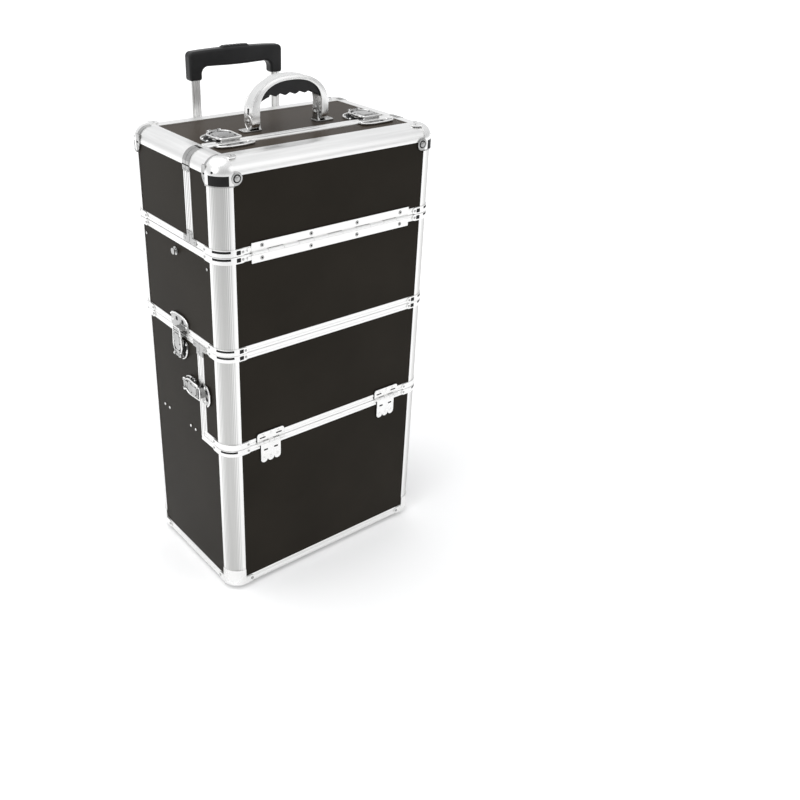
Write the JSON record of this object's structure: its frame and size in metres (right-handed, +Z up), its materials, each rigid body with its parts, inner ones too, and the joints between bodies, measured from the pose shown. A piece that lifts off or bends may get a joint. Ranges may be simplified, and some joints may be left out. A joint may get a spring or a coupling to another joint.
{
  "type": "rolling makeup case",
  "caption": "Black rolling makeup case: trolley case with a drop front, detachable train case with swing-out trays, aluminium frame, telescopic pull handle.",
  "frame": {"origin": "On the floor, in the middle of the object's box, with the case standing on its wheels and front feet.", "axes": "X runs across the front, to the right as one faces it. Y runs from the front to the rear, where the pull handle and the wheels are. Z runs up."},
  "size_m": [0.3764, 0.2565, 0.751],
  "materials": {
    "laminate": "satin",
    "aluminium": "satin",
    "chrome": "polished",
    "black_plastic": "satin",
    "tray_board": "matte",
    "black_rubber": "matte",
    "webbing": "woven"
  },
  "bodies": {
    "lower_case": {"lower_panels": "laminate", "lower_frame": "aluminium", "lower_corner_caps": "chrome", "front_feet": "black_rubber", "wheel_housings": "black_plastic", "wheel_axles": "chrome", "guide_tubes": "aluminium", "tube_brackets": "black_plastic", "tray_ledges": "aluminium", "flap_hinge_lower": "chrome", "lower_latch_bases": "chrome", "shoulder_strap": "webbing"},
    "left_wheel": {"left_wheel": "black_rubber"},
    "right_wheel": {"right_wheel": "black_rubber"},
    "pull_handle": {"inner_tubes": "aluminium", "pull_grip": "black_plastic"},
    "release_button": {"release_button": "black_plastic"},
    "drop_front": {"flap_panels": "laminate", "flap_frame": "aluminium", "flap_corner_plates": "chrome", "flap_hinge_upper": "chrome", "flap_hooks": "chrome"},
    "left_flap_lever": {"left_flap_lever": "chrome"},
    "right_flap_lever": {"right_flap_lever": "chrome"},
    "left_case_lever": {"left_case_lever": "chrome"},
    "right_case_lever": {"right_case_lever": "chrome"},
    "upper_case": {"body_panels": "laminate", "body_frame": "aluminium", "body_corner_plates": "chrome", "side_cheeks": "tray_board", "body_hinge_leaves": "aluminium", "case_hooks": "chrome", "strap_studs": "chrome", "body_divider": "tray_board"},
    "front_lid": {"front_lid_panels": "laminate", "front_lid_frame": "aluminium", "front_lid_corners": "chrome", "front_lid_leaf": "aluminium", "lid_hooks": "chrome"},
    "rear_lid": {"rear_lid_panels": "laminate", "rear_lid_frame": "aluminium", "rear_lid_corners": "chrome", "rear_lid_leaf": "aluminium", "handle_brackets": "chrome", "lid_latch_bases": "chrome"},
    "carry_handle": {"handle_bow": "chrome", "handle_grip": "black_plastic"},
    "left_lid_lever": {"left_lid_lever": "chrome"},
    "right_lid_lever": {"right_lid_lever": "chrome"},
    "front_tray": {"front_tray": "tray_board"},
    "front_arms_a": {"front_arms_a": "aluminium"},
    "front_arms_b": {"front_arms_b": "aluminium"},
    "inner_tray": {"inner_tray": "tray_board"},
    "inner_arms_a": {"inner_arms_a": "aluminium"},
    "inner_arms_b": {"inner_arms_b": "aluminium"},
    "outer_tray": {"outer_tray": "tray_board"},
    "outer_links_a": {"outer_links_a": "aluminium"},
    "outer_links_b": {"outer_links_b": "aluminium"},
    "lift_out_tray": {"lift_out_tray": "tray_board"}
  },
  "joints": [
    {"name": "left_wheel_spin", "type": "hinge", "parent": "lower_case", "child": "left_wheel", "pos_m": [-0.123, 0.08975, 0.025], "axis": [1, 0, 0], "continuous": true},
    {"name": "right_wheel_spin", "type": "hinge", "parent": "lower_case", "child": "right_wheel", "pos_m": [0.123, 0.08975, 0.025], "axis": [1, 0, 0], "continuous": true},
    {"name": "pull_handle_slide", "type": "slide", "parent": "lower_case", "child": "pull_handle", "axis": [0, 0, 1], "range_m": [-0.29, 0]},
    {"name": "release_button", "type": "slide", "parent": "pull_handle", "child": "release_button", "axis": [0, 0, -1], "range_m": [0, 0.003], "stiffness_N_per_m": 500},
    {"name": "take_off", "type": "slide", "parent": "lower_case", "child": "upper_case", "axis": [0, -0.8, 0.6], "range_m": [0, 0.55]},
    {"name": "drop_front", "type": "hinge", "parent": "lower_case", "child": "drop_front", "pos_m": [0, -0.12585, 0.2523], "axis": [1, 0, 0], "range_deg": [0, 90]},
    {"name": "left_flap_lever", "type": "hinge", "parent": "lower_case", "child": "left_flap_lever", "pos_m": [-0.186, -0.02295, 0.325], "axis": [0, 0, -1], "range_deg": [0, 100]},
    {"name": "right_flap_lever", "type": "hinge", "parent": "lower_case", "child": "right_flap_lever", "pos_m": [0.186, -0.02295, 0.325], "axis": [0, 0, 1], "range_deg": [0, 100]},
    {"name": "left_case_lever", "type": "hinge", "parent": "lower_case", "child": "left_case_lever", "pos_m": [-0.186, -0.00925, 0.36415], "axis": [0, -1, 0], "range_deg": [0, 100]},
    {"name": "right_case_lever", "type": "hinge", "parent": "lower_case", "child": "right_case_lever", "pos_m": [0.186, -0.00925, 0.36415], "axis": [0, 1, 0], "range_deg": [0, 100]},
    {"name": "front_lid", "type": "hinge", "parent": "upper_case", "child": "front_lid", "pos_m": [0, -0.12585, 0.542], "axis": [1, 0, 0], "range_deg": [0, 175]},
    {"name": "rear_lid", "type": "hinge", "parent": "upper_case", "child": "rear_lid", "pos_m": [0, 0.10635, 0.542], "axis": [-1, 0, 0], "range_deg": [0, 175]},
    {"name": "left_lid_lever", "type": "hinge", "parent": "rear_lid", "child": "left_lid_lever", "pos_m": [-0.116, -0.01325, 0.672], "axis": [-1, 0, 0], "range_deg": [0, 100]},
    {"name": "right_lid_lever", "type": "hinge", "parent": "rear_lid", "child": "right_lid_lever", "pos_m": [0.116, -0.01325, 0.672], "axis": [-1, 0, 0], "range_deg": [0, 100]},
    {"name": "carry_handle", "type": "hinge", "parent": "rear_lid", "child": "carry_handle", "pos_m": [0, -0.01325, 0.678], "axis": [1, 0, 0], "range_deg": [-75, 75]},
    {"name": "front_arms_a", "type": "hinge", "parent": "upper_case", "child": "front_arms_a", "pos_m": [0, -0.10625, 0.539], "axis": [1, 0, 0], "range_deg": [0, 105]},
    {"name": "front_arms_b", "type": "hinge", "parent": "upper_case", "child": "front_arms_b", "pos_m": [0, -0.09375, 0.539], "axis": [1, 0, 0], "range_deg": [0, 105]},
    {"name": "front_tray", "type": "hinge", "parent": "front_arms_a", "child": "front_tray", "pos_m": [0, -0.07019, 0.56242], "axis": [-1, 0, 0], "range_deg": [0, 105]},
    {"name": "inner_arms_a", "type": "hinge", "parent": "upper_case", "child": "inner_arms_a", "pos_m": [0, 0.08375, 0.539], "axis": [-1, 0, 0], "range_deg": [0, 105]},
    {"name": "inner_arms_b", "type": "hinge", "parent": "upper_case", "child": "inner_arms_b", "pos_m": [0, 0.04375, 0.539], "axis": [-1, 0, 0], "range_deg": [0, 105]},
    {"name": "inner_tray", "type": "hinge", "parent": "inner_arms_a", "child": "inner_tray", "pos_m": [0, 0.04182, 0.56623], "axis": [1, 0, 0], "range_deg": [0, 105]},
    {"name": "outer_links_a", "type": "hinge", "parent": "inner_tray", "child": "outer_links_a", "pos_m": [0, 0.07375, 0.582], "axis": [-1, 0, 0], "range_deg": [0, 120]},
    {"name": "outer_links_b", "type": "hinge", "parent": "inner_tray", "child": "outer_links_b", "pos_m": [0, 0.03375, 0.582], "axis": [-1, 0, 0], "range_deg": [0, 120]},
    {"name": "outer_tray", "type": "hinge", "parent": "outer_links_a", "child": "outer_tray", "pos_m": [0, 0.03218, 0.606], "axis": [1, 0, 0], "range_deg": [0, 120]},
    {"name": "lift_out_tray", "type": "slide", "parent": "lower_case", "child": "lift_out_tray", "axis": [0, 0, 1], "range_m": [0, 0.22]}
  ],
  "couplings": [
    {"joint": "drop_front", "follows": "take_off", "rad_per_m": 2.85},
    {"joint": "lift_out_tray", "follows": "take_off", "ratio": 0.4},
    {"joint": "rear_lid", "follows": "take_off", "rad_per_m": 5.553},
    {"joint": "inner_arms_a", "follows": "take_off", "rad_per_m": 3.33},
    {"joint": "inner_arms_b", "follows": "take_off", "rad_per_m": 3.33},
    {"joint": "inner_tray", "follows": "take_off", "rad_per_m": 3.33},
    {"joint": "outer_links_a", "follows": "take_off", "rad_per_m": 3.8},
    {"joint": "outer_links_b", "follows": "take_off", "rad_per_m": 3.8},
    {"joint": "outer_tray", "follows": "take_off", "rad_per_m": 3.8},
    {"joint": "front_arms_a", "follows": "front_lid", "ratio": 0.6},
    {"joint": "front_arms_b", "follows": "front_lid", "ratio": 0.6},
    {"joint": "front_tray", "follows": "front_lid", "ratio": 0.6}
  ]
}
